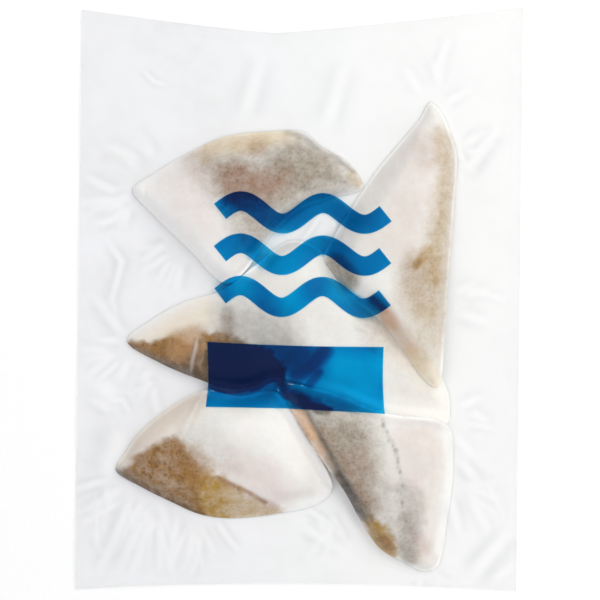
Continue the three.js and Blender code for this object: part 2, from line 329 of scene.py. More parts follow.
STROKES = {
    "upper_left": [
        ("gold", 0.3, 6, 2, [(238, 148), (262, 144)]),
        ("rust", 0.3, 5, 1.5, [(256, 149), (260, 150)]),
        ("rust", 0.1, 12, 4, [(194, 168), (202, 174)]),
        ("gold", 0.16, 8, 3, [(196, 160), (214, 150)]),
        ("deep", 0.26, 2.6, 0.4, [(288, 133), (304, 138), (316, 147)]),
        ("deep", 0.28, 2.2, 0.3, [(332, 155), (344, 164), (354, 172)]),
        ("gold", 0.4, 4, 1.5, [(352, 176), (358, 181)]),
    ],
    "right": [
        ("gold", 0.75, 2.5, 0.6, [(413.5, 266), (416, 263)]),
        ("deep", 0.2, 2.5, 0.3, [(413.5, 266), (415, 264)]),
        ("gold", 0.5, 3.5, 0.8, [(421, 258), (427, 250)]),
        ("grey", 0.7, 6, 3, [(334, 266), (346, 280)]),
        ("rust", 0.5, 2.4, 0.4, [(372, 299), (379, 306), (384, 312)]),
        ("cut", 0.6, 5, 1.4, [(374, 302), (384, 315), (390, 323)]),
        ("cut", 0.3, 6, 1.2, [(388, 321), (400, 337), (410, 350)]),
        ("rust", 0.12, 7, 1.2, [(376, 305), (390, 324)]),
        ("gold", 0.2, 7, 2.5, [(398, 334), (408, 349), (416, 362)]),
        ("cream", 0.6, 6, 3, [(410, 356), (424, 372), (438, 388)]),
        ("grey", 0.1, 4, 2, [(450, 140), (453, 190), (450, 260), (446, 330)]),
        ("gold", 0.06, 4, 2, [(446, 126), (453, 190), (450, 260), (446, 330), (440, 370)]),
    ],
    "middle": [
        ("rust", 0.35, 6, 2, [(182, 338), (200, 334)]),
        ("gold", 0.5, 6, 2, [(158, 350), (180, 344)]),
        ("cream", 0.6, 8, 3, [(178, 344), (194, 341)]),
        ("gold", 0.3, 8, 3, [(178, 345), (194, 341)]),
        ("deep", 0.4, 8, 3, [(194, 366), (206, 362)]),
        ("spot", 0.55, 4, 1.4, [(134, 350), (152, 360), (184, 375)]),
        ("cut", 0.3, 8, 2.5, [(180, 348), (190, 342)]),
        ("grey", 0.35, 4, 1, [(228, 312), (229, 332)]),
        ("rust", 0.25, 5, 1.5, [(228, 322), (229, 334)]),
        # bright belly, with painted light along this pale edge
        ("white", 0.8, 8, 4, [(446, 378), (452, 404), (449, 421), (402, 413), (360, 399)]),
    ],
    "lower_left": [
        ("deep", 0.4, 3, 0.6, [
            (116, 473), (136, 484), (158, 496), (182, 509), (204, 517)]),
        ("deep", 0.5, 2, 0.8, [(116, 472), (120, 473)]),
        ("spot", 0.45, 4, 1.6, [(117, 470), (124, 474), (132, 482)]),
        # bright belly, with painted light along this pale edge
        ("white", 0.9, 6, 3, [
            (294, 406), (312, 438), (327, 466), (334, 489), (318, 505), (284, 514)]),
        ("brown", 0.6, 1.5, 0.3, [(218, 475), (232, 482), (250, 491), (266, 501)]),
        ("rust", 0.3, 3, 0.6, [(226, 480), (250, 492), (276, 507)]),
        ("cut", 0.17, 9, 2, [(126, 458), (140, 440), (162, 420), (200, 396)]),
    ],
    "lower_right": [
        ("cut", 0.7, 3, 1.6, [(292, 402), (302, 418), (311, 434)]),
        ("cut", 0.42, 3.4, 0.9, [(308, 430), (320, 449)]),
        ("cut", 0.2, 3.4, 0.3, [(318, 447), (326, 460)]),
        ("deep", 0.5, 2.6, 0.3, [(305, 411), (316, 429), (327, 448), (336, 464), (350, 489)]),
        ("deep", 0.3, 2.6, 0.6, [(328, 458), (337, 473)]),
        ("deep", 0.5, 2.8, 1.2, [(338, 474), (346, 489), (354, 505), (361, 516)]),
        ("deep", 0.4, 4, 2.5, [(346, 492), (354, 506)]),
        # bright belly, with painted light along this pale edge
        ("white", 0.8, 5, 3, [(450, 430), (455, 463), (451, 513), (445, 548)]),
        ("brown", 0.35, 6, 2, [(322, 432), (340, 464), (352, 486), (360, 502)]),
        ("deep", 0.3, 4, 1, [(348, 484), (358, 502), (366, 516)]),
        ("deep", 0.2, 3, 0.6, [(366, 518), (376, 535), (386, 547)]),
        ("rust", 0.5, 4, 1.2, [(383, 538), (388, 545)]),
        ("deep", 0.12, 2.5, 0.6, [(386, 487), (402, 485)]),
        ("grey", 0.35, 5, 2, [(404, 518), (410, 556)]),
        ("rust", 0.2, 5, 1.5, [(418, 538), (424, 546)]),
    ],
}
LATERAL_LINE = [  # in pixels
    (382, 418), (384, 427), (387, 434), (391, 442), (394, 451), (397, 460), (399, 469),
    (400, 478), (401, 486), (400, 496), (402, 505), (404, 514), (404, 523), (405, 531),
    (406, 539), (408, 548), (411, 556),
]
LATERAL_FADE = 1.2
LATERAL_THREAD = (0.25, 0.2, 1.6)  # strength, radius and fade of the thread under the smudges
LATERAL_SMUDGES = 60
LATERAL_SPREAD = 0.6  # mm off the line
LATERAL_RADIUS = 0.5  # the most that a smudge has, as below
LATERAL_STRENGTH = 0.7
LATERAL_STRETCH = 0.7  # a smudge's width as a share of its length along the fish
LATERAL_SEED = 5

# Creases of the film: a path, its height and its half width in mm. These are the solid's, three
# of them lower and wider than there.
CREASES = [
    ([(-84, -102), (-103, -146)], 2.4, 3.4),
    ([(-74, -107), (-84, -148)], 2.2, 3.2),
    ([(-62, -112), (-66, -146)], 2, 3.2),
    ([(-90, -22), (-108, 2)], 2.2, 3.4),
    ([(-96, -60), (-110, -52)], 1.8, 3.2),
    ([(-88, 52), (-112, 44)], 2, 3.4),
    ([(-30, 92), (-20, 128)], 0.7, 5),
    ([(12, 86), (24, 126)], 0.6, 5),
    ([(2, -118), (26, -132)], 2.2, 3.4),
    ([(90, -146), (113, -118)], 1.2, 5),
    ([(84, -82), (102, -104)], 1.8, 3.2),
    ([(84, 64), (104, 92)], 1.6, 4),
]
# Finer ones, in the photograph's pixels
FINE_CREASES = [
    ([(300, 505), (330, 524), (352, 546)], 1.3, 2.2),
    ([(104, 236), (122, 262), (112, 300), (120, 330)], 1.2, 2.4),
    ([(100, 402), (122, 400), (132, 414)], 1.2, 2.2),
    ([(486, 586), (508, 570), (536, 548)], 0.2, 3),
    ([(122, 424), (117, 452), (104, 486)], 0.9, 8),
    ([(149, 492), (136, 525), (119, 562)], 0.3, 1.7),
    ([(155, 500), (150, 540), (145, 575)], 0.3, 1.6),
    ([(158, 494), (168, 526), (178, 556)], 0.35, 3),
    ([(96, 486), (97, 520), (97, 544), (110, 562)], 0.3, 1.7),
    ([(96, 376), (112, 398), (124, 404)], 0.5, 7),
    ([(468, 462), (482, 500)], 0.4, 2),
    ([(484, 474), (504, 520)], 0.4, 2),
    ([(142, 68), (154, 82), (168, 86)], 0.8, 1.7),
    ([(322, 214), (306, 236), (296, 250)], 1.0, 1.6),
    ([(340, 226), (324, 250), (318, 262)], 0.8, 2),
    ([(455, 150), (478, 178)], 0.8, 2),
]
# Creases that are milky too, and how much, where the film is folded sharply over skin: that milky
# white is a painted glint along each fold
MILKY_GLINT_CREASES = [
    ([(262, 237), (276, 224), (298, 207), (345, 190)], 1.3, 1.5, 0.3),
    ([(199, 332), (197, 346), (193, 362), (191, 378)], 1.0, 0.9, 0.85),
    ([(205, 334), (204, 350), (199, 372)], 0.4, 0.8, 0.25),
    ([(206, 388), (198, 404), (190, 420), (182, 440)], 1.0, 1.5, 0.3),
    ([(347, 213), (336, 240), (328, 260)], 1.2, 1.6, 0.25),
    ([(350, 322), (372, 332), (360, 345)], 0.9, 1.5, 0.25),
]
CREASE_LEAD = 0.02  # share of a path's length by which its ridge reaches past both ends
CREASE_RISE = 0.35  # share over which it rises to its height
CREASE_END = 0.25  # share over which it ends
CREASE_FADE = 0.65  # share of its height that it has lost by then
CREASE_FLANK_SHADE = 0.95  # painted shade: how much darker the film is drawn on the flanks of a crease 1 mm high or more
CREASE_CREST_HIGHLIGHT = 1.1  # painted highlight: how much lighter the film is drawn along the top of a crease
CREST_HIGHLIGHT_WIDTH = 0.75  # half widths of a crease that its painted highlight takes up
MILK_WIDTH = 1.1  # and that its milky part does
# Fans of folds: the pixel where they start, the middle of their directions in degrees, how far they
# spread, how many there are, how long they get and how strong they are
CREASE_FANS = [
    ((128, 478), 236, 70, 9, 48, 1.5),
    ((160, 496), 256, 50, 8, 48, 1.6),
    ((200, 514), 276, 50, 6, 38, 1.2),
    ((130, 350), 206, 90, 6, 32, 1),
    ((132, 200), 206, 90, 7, 34, 1.1),
    ((176, 246), 226, 50, 6, 34, 1.4),
    ((150, 172), 140, 50, 5, 30, 0.8),
    ((432, 98), 84, 100, 5, 36, 0.7),
    ((456, 150), 10, 60, 4, 34, 0.8),
    ((452, 300), 0, 60, 4, 34, 0.8),
    ((458, 420), 350, 70, 4, 34, 0.9),
    ((452, 480), 318, 60, 5, 38, 1),
    ((430, 572), 300, 60, 4, 16, 1),
    ((330, 500), 276, 60, 5, 40, 1),
    ((160, 372), 240, 60, 5, 26, 1),
]
CREASE_SEED = 11
FAN_START = 7  # mm to either side that a fan's folds start apart
FOLD_TURN = 6  # degrees that a fold turns aside from its place in the fan at most
FOLD_BEND = 0.35  # radians that it bends by along its length at most
FOLD_POINTS = 5
FOLD_LENGTHS = (0.45, 1)  # shares of the fan's longest fold
FOLD_HEIGHTS = (0.5, 0.9)
FOLD_WIDTHS = (2.2, 3.6)

# The print: a plain bar under three waves, with their corners in the photograph's pixels
BAR_CORNERS = ((208.5, 341.5), (383, 347), (384, 413), (207, 406))
BAR_BOW = 0.7  # how far the bar's sides bend in along their length
WAVE_CORNERS = ((222, 192), (383, 319))  # upper left and lower right
BAND_COUNT = 3
BAND_WIDTH = 10
BAND_SWING = 5.5
BAND_PERIODS = 2
INK_LIFT = 0.18  # of the ink over the film's surface, so that the two never cross
INK_THICKNESS = 0.05

PHOTO_SPAN = 312.9  # mm that the photograph's frame spans on the pouch
CAMERA_LENS = 120
SENSOR = 36
CAMERA_AIM = (0.5, -0.8)

RIM_CROWDING = 1.5  # power that crowds a fillet's rings towards its rim
LEAST_THICKNESS = 0.2
HAIR = 0.001  # of a grid's step, to stay short of its last line
BAR_COLUMNS, BAR_ROWS = 240, 90
BAND_COLUMNS, BAND_ROWS = 260, 28
FLOOR_HEIGHT = -0.15
FLOOR_REACH = 3000  # mm from the middle to each of the floor's sides
ROOM_LIGHT = 0.715
ROOM_COLOUR = (0.985, 0.99, 1, 1)
KEY_COLOUR = (1, 1, 0.93)
FILL_COLOUR = (0.985, 0.99, 1)
LIGHTS = {  # place in m, side in m and power in W of each soft light
    "key": ((0.7, 0.62, 0.9), 0.8, 5.4),
    "upper_left": ((-1.0, 0.9, 1.0), 1.2, 2),
    "lower_left": ((-1.0, -0.95, 1.0), 1.2, 1.3),
    "lower_right": ((1.0, -0.95, 1.0), 1.2, 5),
}

PATCH_POINTS = 48
LIT_EDGE_REACH = 1.4  # mm from a fillet's outline to where the painted light along its thin edge has half ended
DARKENING = {"brown": 0.9, "deep": 0.9, "rust": 0.9, "gold": 0.5, "grey": 0.4, "spot": 0.3}
PAINTS = ("white", "grey", "brown", "gold", "rust", "pink", "cream", "deep", "cut", "spot")
# bright belly white, which is also laid as painted light on pale edges and on shaded belly
BELLY_BRIGHT_AND_PAINTED_LIGHT = "#FDFBF8"
BELLY_WHITE = "#F0EFEB"
BELLY_PALE = "#E9E6E0"
SKIN_CREAM = "#F0E0C4"
SKIN_PINK = "#DECBC5"
SKIN_GOLD = "#B28926"
SKIN_RUST = "#965A2C"
SKIN_GREY = "#88765C"
SKIN_BROWN = "#6A4212"
SKIN_OCHRE = "#9A6A18"
SKIN_DEEP = "#262220"
SKIN_FLECK = "#57432E"
SKIN_SPOT = "#6E6A62"
PIGMENTS = {  # laid on the pale belly in this order, with the brown of the back over them
    "pink": SKIN_PINK, "cream": SKIN_CREAM, "gold": SKIN_GOLD, "grey": SKIN_GREY, "rust": SKIN_RUST,
}
COATS = {"grey": 1, "brown": 0.8, "gold": 0.6, "rust": 0.5}  # how flecked each of them is
COAT_LEAST = 0.08
FLECK_SIZE = 1.5  # mm
GAP_SIZE = 2.1
MOTTLE_SIZE = 4.5
CLOUD_SIZE = 19
PIGMENT_LEAST = 0.83  # share of each pigment that is left between its mottles
PIGMENT_PATCHY = 0.32
BLUSH = 0.14
FLECKED = 0.42
BARE = 0.05
SPOTTED = 0.8
FLESH_RAW = "#C28A5E"
FLESH_PALE = "#D9B48E"
FILM_WHITE = "#FAFAFA"
FILM_THROUGH = 0.5  # share of the light scattered by milky film that goes on through it
FILM_PASS_SHADED_LEFT = "#FCFCFD"  # colours that one sheet of film lets through at the two sides of
FILM_PASS_LIT_RIGHT = "#FDFDFD"  # the pouch, darker at the left as painted shade, where it is thicker, and on the flanks of its creases as painted shade
FILM_THICK = "#F9F9F9"
FILM_FLANK_SHADE = "#F2F2F3"
FILM_CREST_HIGHLIGHT = "#FFFFFF"  # lighter along their crests, a painted highlight
FILM_SHADE_FROM = -55  # mm across the pouch over which the painted shade on the left gives way to the right
FILM_SHADE_TO = 45
FILM_UNEVEN = 0.3  # how thick it looks in clouds, and how much more so on its crinkles
FILM_CRUMPLED = 0.45
FILM_SHADE_LESS_RIGHT = 0.55  # how much less so at the right side, as part of that painted shade
FILM_CLOUD_SIZE = 40  # mm
CRINKLE_SIZE = 7
FILM_CLEAR = 0.03  # how milky the film is, and how much more so over gaps and in the welded rim
FILM_MILK = 0.16
FILM_WELDED = 0.02
FILM_GLOSS = 0.3  # roughness of the film's mirror light
FILM_MIRROR = 0.015  # share of light that it mirrors straight on
FRESNEL_POWER = 5  # of the rise of that towards a grazing view
INK_FILTER = "#80EDFF"
INK_DENSE = "#74BCE6"
INK_BRIGHT = "#0662B4"
INK_NAVY = "#182A5C"
INK_BODY = 0.1
INK_DARK_BODY = 0.3  # how much more body it seems to have over dark skin
INK_STREAKS = 0.2
INK_STREAK_SIZE = 3
INK_LEAST = 0.162
INK_CLOUDS = [(0.18, 13, 3970)]  # darkness, size in mm and seed
CLING_REACH = 3  # mm outside a fillet to which the film is drawn close to its skin
CLING_FADE = 2
PAPER_SHADE = "#FBFBFB"
PAPER_WHITE = "#FFFFFF"
PAPER_GRAIN = 0.6  # mm
INK_CREASE_SHADE = [  # strokes, in pixels too, of painted shade where the film is creased under the print
    (0.5, 5, 1.5, [(296, 375), (310, 367), (324, 351)]),
    (0.45, 3, 0.8, [(309, 384), (318, 372)]),
    (0.4, 8, 3, [(284, 346), (298, 352), (304, 364)]),
]


# ---------------------------------------------------------------- flat shapes

def on_pack(pixels):
    """Places in the photograph as mm on the pouch: turned straight round the pouch's middle,
    scaled by the pouch's width, and rounded to half a millimetre."""
    right, down = (np.array(pixels, float) - PHOTO_MIDDLE).T * POUCH_WIDTH / POUCH_PIXELS
    turn = math.radians(PHOTO_TURN)
    x = right * math.cos(turn) + down * math.sin(turn)
    y = right * math.sin(turn) - down * math.cos(turn)
    return np.round(2 * np.stack([x, y], axis=-1)) / 2


def smooth_outline(corners, count):
    """A closed centripetal Catmull-Rom curve through the corners: between two of them, a cubic
    whose end slopes come from the roots of the distances to their neighbours. It is cut again
    into equal steps of its own length."""
    knots = np.array(corners, float)
    before, after, last = (np.roll(knots, shift, axis=0) for shift in (1, -1, -2))
    first, second, third = (
        np.sqrt(np.linalg.norm(b - a, axis=1))[:, None]
        for a, b in ((before, knots), (knots, after), (after, last))
    )
    leave = (knots - before) / first - (after - before) / (first + second)
    leave = (leave + (after - knots) / second) * second
    arrive = (after - knots) / second - (last - knots) / (second + third)
    arrive = (arrive + (last - after) / third) * second
    t = (np.arange(CURVE_STEPS) / CURVE_STEPS)[None, :, None]
    knots, after, leave, arrive = (a[:, None, :] for a in (knots, after, leave, arrive))
    curve = knots + leave * t + (3 * (after - knots) - 2 * leave - arrive) * t ** 2
    curve = (curve + (2 * (knots - after) + leave + arrive) * t ** 3).reshape(-1, 2)
    closed = np.vstack([curve, curve[:1]])
    run = np.concatenate([[0], np.cumsum(np.linalg.norm(np.diff(closed, axis=0), axis=1))])
    steps = np.linspace(0, run[-1], count, endpoint=False)
    return np.stack([np.interp(steps, run, closed[:, axis]) for axis in (0, 1)], axis=1)


def nearest_on(path, x, y, closed=False):
    """Distance from each place to a path of straight steps, the unit vector towards its nearest
    point, the share of the path at which that lies, and whether the closed path holds the place."""
    path = np.asarray(path, float)
    ends = np.roll(path, -1, axis=0) if closed else path[1:]
    starts = path if closed else path[:-1]
    best = np.full(x.shape, np.inf)
    to_x, to_y, share = np.zeros_like(x), np.zeros_like(x), np.zeros_like(x)
    inside = np.zeros(x.shape, bool)
    for step, ((ax, ay), (bx, by)) in enumerate(zip(starts, ends)):
        across, along = bx - ax, by - ay
        t = np.clip(((x - ax) * across + (y - ay) * along) / (across ** 2 + along ** 2), 0, 1)
        off_x, off_y = ax + t * across - x, ay + t * along - y
        off = np.hypot(off_x, off_y)
        closer = off < best
        best = np.where(closer, off, best)
        to_x, to_y = np.where(closer, off_x, to_x), np.where(closer, off_y, to_y)
        share = np.where(closer, (step + t) / len(starts), share)
        if closed and ay != by:
            inside ^= ((ay > y) != (by > y)) & (x < ax + (y - ay) / along * across)
    length = np.maximum(best, 1e-9)
    return best, to_x / length, to_y / length, share, inside


def depth_inside(outline, x, y):
    """Distance to a closed outline, positive inside it, with the unit vector out of it."""
    off, to_x, to_y, _, inside = nearest_on(outline, x, y, closed=True)
    sign = np.where(inside, 1.0, -1.0)
    return off * sign, to_x * sign, to_y * sign


def ease(t):
    """The smooth step 3t^2 - 2t^3 of a value held between 0 and 1."""
    t = np.clip(t, 0, 1)
    return t * t * (3 - 2 * t)


def unevenness(x, y, size, seed):
    """A smooth random field from -1 to 1: seeded values on a square lattice of the given size in
    mm, blended between its points by the smooth step."""
    lattice = np.random.default_rng(seed).uniform(-1, 1, (LATTICE, LATTICE))
    u, v = x / size + LATTICE_MIDDLE[0], y / size + LATTICE_MIDDLE[1]
    i, j = np.floor(u).astype(int), np.floor(v).astype(int)
    s, t = ease(u - i), ease(v - j)
    near, near_beside, far, far_beside = (
        lattice[(i + a) % LATTICE, (j + b) % LATTICE] for a in (0, 1) for b in (0, 1)
    )
    return (near * (1 - t) + near_beside * t) * (1 - s) + (far * (1 - t) + far_beside * t) * s


def uneven_layers(x, y, layers):
    """The sum of smooth random fields, each with its own height, size and seed."""
    return sum(height * unevenness(x, y, size, seed) for height, size, seed in layers)


def between(fields, row, column):
    """Values at places between the points of a grid, blended from the four round each place."""
    row = np.clip(row, 0, fields.shape[-2] - 1 - HAIR)
    column = np.clip(column, 0, fields.shape[-1] - 1 - HAIR)
    i, j = np.floor(row).astype(int), np.floor(column).astype(int)
    s, t = row - i, column - j
    near = fields[..., i, j] * (1 - t) + fields[..., i, j + 1] * t
    far = fields[..., i + 1, j] * (1 - t) + fields[..., i + 1, j + 1] * t
    return near * (1 - s) + far * s


def mean_beside(field):
    """The mean of each inner point's four neighbours in a grid."""
    return (field[1:-1, :-2] + field[1:-1, 2:] + field[:-2, 1:-1] + field[2:, 1:-1]) / 4


def lateral_line(x, y):
    """The fish's lateral line: a faint thread with smudges of uneven size and strength on it."""
    draw = np.random.default_rng(LATERAL_SEED)
    faint, radius, fade = LATERAL_THREAD
    mark = faint * stroke(x, y, LATERAL_LINE, radius, fade)
    points = np.arange(len(LATERAL_LINE))
    steps = np.linspace(0, points[-1], LATERAL_SMUDGES)
    path = [np.interp(steps, points, line) for line in on_pack(LATERAL_LINE).T]
    for spot_x, spot_y in zip(*path):
        off_x, off_y = draw.normal(0, LATERAL_SPREAD, 2)
        radius, strength = draw.uniform(0, LATERAL_RADIUS), draw.uniform(0, LATERAL_STRENGTH)
        off = np.hypot(x - spot_x - off_x, (y - spot_y - off_y) * LATERAL_STRETCH)
        mark = np.maximum(mark, strength * ease(1 - (off - radius) / LATERAL_FADE))
    return mark


def patch(x, y, corners, fade):
    """1 inside a smooth closed outline, and down to 0 by the smooth step over the fade, half of
    which lies inside it. The outline is frayed a little, as pigment is."""
    inside = depth_inside(smooth_outline(on_pack(corners), PATCH_POINTS), x, y)[0]
    return ease(0.5 + (inside + uneven_layers(x, y, FRAYS)) / fade)


def stroke(x, y, path, radius, fade):
    """1 within the radius of a path, and down to 0 by the smooth step over the fade."""
    off = nearest_on(on_pack(path), x, y)[0]
    return ease(1 - (off - radius) / fade)


def skin_marks(name, x, y):
    """How much of each colour a fillet has at each place, from its patches and strokes. Its very edge
    is painted pale as painted light, so that its thin, steep side shows no shade."""
    paint = {channel: np.zeros_like(x) for channel in PAINTS}
    marks = [(channel, strength, patch(x, y, outline, fade))
             for channel, strength, fade, outline in PATCHES[name]]
    marks += [(channel, strength, stroke(x, y, path, radius, fade))
              for channel, strength, fade, radius, path in STROKES[name]]
    for channel, strength, mark in marks:
        paint[channel] += strength * mark * (1 - paint[channel])
    if name == "lower_right":
        paint["spot"] = np.maximum(paint["spot"], lateral_line(x, y))
    depth = depth_inside(FILLETS[name]["smooth"], x, y)[0]
    # painted light: the outline is whitened against the shade of the steep side
    paint["white"] = np.maximum(paint["white"], ease(1.5 - depth / LIT_EDGE_REACH))
    return paint


def skin_tone(name, x, y):
    """How dark a fillet's skin is at each place, from 0 where it is bare of pigment."""
    paint = skin_marks(name, x, y)
    return sum(share * paint[channel] for channel, share in DARKENING.items())


def ink_darkness(x, y):
    """How dark the print looks at each place: darkest where the film clings to dark skin, with painted
    shade along the creases under it, and uneven elsewhere, from 0 where the film stands clear of what
    is under it."""
    dark = np.zeros_like(x)
    for name, fillet in FILLETS.items():
        depth = depth_inside(fillet["smooth"], x, y)[0]
        near = ease((depth + CLING_REACH) / CLING_FADE)
        dark = np.maximum(dark, skin_tone(name, x, y) * near)
    # painted shade along the creases under the print
    for strength, fade, radius, path in INK_CREASE_SHADE:
        dark = np.maximum(dark, strength * stroke(x, y, path, radius, fade))
    return np.clip(dark + INK_LEAST + uneven_layers(x, y, INK_CLOUDS), 0, 1)


# ---------------------------------------------------------------- the fillets' form

def lift_under(fillet, y):
    """Height of a fillet's underside, which rises evenly towards an end that rests on its
    neighbour."""
    if "lift" not in fillet:
        return np.zeros_like(y)
    height, start, end = fillet["lift"]
    return height * np.clip((y - start) / (end - start), 0, 1)


def soft_inside(fillet, x, y):
    """Depth inside a fillet's outline with the ridges along its middle eased away, and the
    direction out of it, which fades to nothing along the middle. It comes from a grid of 1 mm
    cells, each set again and again to the mean of its four neighbours."""
    if "soft" not in fillet:
        low = fillet["smooth"].min(axis=0) - SOFT_MARGIN
        high = fillet["smooth"].max(axis=0) + SOFT_MARGIN
        across, along = np.arange(low[0], high[0]), np.arange(low[1], high[1])
        field = depth_inside(fillet["smooth"], *np.meshgrid(across, along))[0]
        for _ in range(SOFT_PASSES):
            field[1:-1, 1:-1] = mean_beside(field)
        rise_y, rise_x = np.gradient(field)
        fillet["soft"] = (low, np.stack([field, -rise_x, -rise_y]))
    low, fields = fillet["soft"]
    return between(fields, y - low[1], x - low[0])


def facing(out_x, out_y, side):
    """How squarely a place looks to a side: 1 within about 35 degrees of it, 0 past 70."""
    return ease((out_x * side[0] + out_y * side[1] - FACING_FROM) / FACING_OVER)


def leaning(fillet, x, y, depth):
    """How much a fillet's side leans on a neighbour: 1 where they touch, and down to 0 by the
    smooth step over the reach of that. The lifted fillet leans on none, and none leans on it."""
    touch = np.zeros_like(x)
    near = (depth > 0) & (depth < TOUCH_REACH)
    for other in FILLETS.values():
        if other is not fillet and "lift" not in other and "lift" not in fillet:
            gap = -depth_inside(other["smooth"], x[near], y[near])[0]
            touch[near] = np.maximum(touch[near], ease(1 - gap / TOUCH_REACH))
    return touch


def face_height(fillet, x, y, depth):
    """Height of a fillet's upper face over its underside, from the depth d inside its outline. A
    round side, 1 - (1 - d/w)^2.5 over a width w, climbs from the outline to the rim, over another
    width where the knife cut it at a slant and lower where the belly thins out. A round shoulder,
    1 - (1 - e/s)^2 of the eased depth e over a width s, is added to it up to the crown, less of
    it where the belly is thin. A side that leans on a neighbour starts as if it lay deeper inside.
    All of it grows by an even share per mm towards the thick side."""
    across, along = fillet["thicker"]
    middle_x, middle_y = fillet["middle"]
    grown = 1 + across * (x - middle_x) + along * (y - middle_y)
    share = np.clip(grown, LEAST_SHARE, MOST_SHARE)
    inner, out_x, out_y = soft_inside(fillet, x, y)
    slanted = facing(out_x, out_y, fillet["cut_side"])
    thin = facing(out_x, out_y, fillet["thin_side"]) * ease(1 - depth / THIN_REACH)
    wall = fillet["wall"] + (fillet["cut_width"] - fillet["wall"]) * slanted
    rim = fillet["rim"] * (1 - THINNED * thin)
    deeper = TOUCH_DEPTH * leaning(fillet, x, y, depth)
    climb = 1 - np.clip(1 - (depth + deeper) / wall, 0, 1) ** SIDE_ROUNDING
    short = np.clip(1 - (inner + deeper) / fillet["shoulder"], 0, 1)
    crown = (fillet["thickness"] - rim) * (1 - short ** 2) * (1 - THIN_CROWN * thin)
    return share * (rim * climb + crown) * (depth > 0)


def flesh_relief(x, y):
    """The shallow unevenness of skin pressed under film: a broad swell and finer dimples."""
    swell = np.sin(2 * np.pi * x / SWELL_ACROSS) * np.cos(2 * np.pi * y / SWELL_ALONG)
    return SWELL_HEIGHT * swell + uneven_layers(x, y, DIMPLES)


def fillet_top(fillet, x, y):
    """Height of a fillet's upper face in the pack, and the depth inside its outline."""
    depth = depth_inside(fillet["smooth"], x, y)[0]
    height = face_height(fillet, x, y, depth)
    relief = flesh_relief(x, y) * ease(depth / RELIEF_FROM)
    return lift_under(fillet, y) + height + relief, depth


# ---------------------------------------------------------------- the film's form

def top_edge(u):
    """Y of the pouch's top edge at u, from -1 at its left side to 1 at its right: it falls from
    both corners to the lowest point by the power 1.2 of the way."""
    corners = POUCH_LENGTH / 2 - TOP_EDGE_TILT * (1 - u) / 2
    reach = np.where(u < TOP_EDGE_LOWEST, 1 + TOP_EDGE_LOWEST, 1 - TOP_EDGE_LOWEST)
    out = np.abs(u - TOP_EDGE_LOWEST) / reach
    return corners - TOP_EDGE_DIP * (1 - out ** TOP_EDGE_POWER)


def bottom_edge(u):
    """Y of the pouch's bottom edge at u: a shallow parabola between its corners."""
    corners = -POUCH_LENGTH / 2 + BOTTOM_EDGE_TILT * (1 + u) / 2
    return corners + BOTTOM_EDGE_DIP * (1 - u * u)


def crease_list():
    """All creases as paths with a height, a half width and how milky they are: the named ones,
    and the fans, whose members get a seeded direction, length, bend and size."""
    draw = np.random.default_rng(CREASE_SEED)
    creases = [(*crease, 0) for crease in CREASES]
    creases += [(on_pack(path), tall, wide, 0) for path, tall, wide in FINE_CREASES]
    creases += [(on_pack(path), tall, wide, milky) for path, tall, wide, milky in MILKY_GLINT_CREASES]
    for start, middle, spread, count, longest, strength in CREASE_FANS:
        start_x, start_y = on_pack(start)
        turns = middle + spread * (np.arange(count) / max(count - 1, 1) - 0.5)
        for turn in np.radians(turns + draw.uniform(-FOLD_TURN, FOLD_TURN, count)):
            step = longest * draw.uniform(*FOLD_LENGTHS) / FOLD_POINTS
            aside = draw.uniform(-FAN_START, FAN_START)
            angle = turn + draw.uniform(-FOLD_BEND, FOLD_BEND) * np.linspace(0, 1, FOLD_POINTS)
            x = start_x - aside * np.sin(turn) + np.cumsum(np.cos(angle)) * step
            y = start_y + aside * np.cos(turn) + np.cumsum(np.sin(angle)) * step
            tall, wide = draw.uniform(*FOLD_HEIGHTS) * strength, draw.uniform(*FOLD_WIDTHS)
            creases.append((list(zip(x, y)), tall, wide, 0))
    return creases


def crease_height(x, y):
    """Height of the creases' ridges, each a bell exp(-(distance / half width)^2) that rises along
    the first third of its path and falls along the rest, the highest counting where they cross.
    With it, how milky the film is along the milky creases, which is a painted glint, how much lighter
    it is drawn along their tops, a painted highlight, also bells, and how much darker it is drawn on
    their flanks, a painted shade, r^2 exp(1 - r^2) at r half widths."""
    fields = np.zeros((4, *x.shape))
    for path, tall, width, milky in crease_list():
        low, high = np.min(path, axis=0) - 3 * width, np.max(path, axis=0) + 3 * width
        near = (x > low[0]) & (x < high[0]) & (y > low[1]) & (y < high[1])
        if not near.any():
            continue
        off, _, _, share, _ = nearest_on(path, x[near], y[near])
        off = off / width
        along = ease((share + CREASE_LEAD) / CREASE_RISE) * (1 - CREASE_FADE * share)
        along = along * ease((1 + CREASE_LEAD - share) / CREASE_END)
        ridge = tall * np.exp(-off ** 2)
        glint_milk = milky * np.exp(-(off / MILK_WIDTH) ** 2)
        # painted shade on the flanks of each crease
        flank_shade = CREASE_FLANK_SHADE * min(tall, 1) * off ** 2 * np.exp(1 - off ** 2)
        # painted highlight along the top of each crease
        crest_highlight = CREASE_CREST_HIGHLIGHT * np.exp(-(off / CREST_HIGHLIGHT_WIDTH) ** 2)
        fields[:, near] = np.maximum(fields[:, near], np.stack([ridge, glint_milk, flank_shade, crest_highlight]) * along)
    return fields


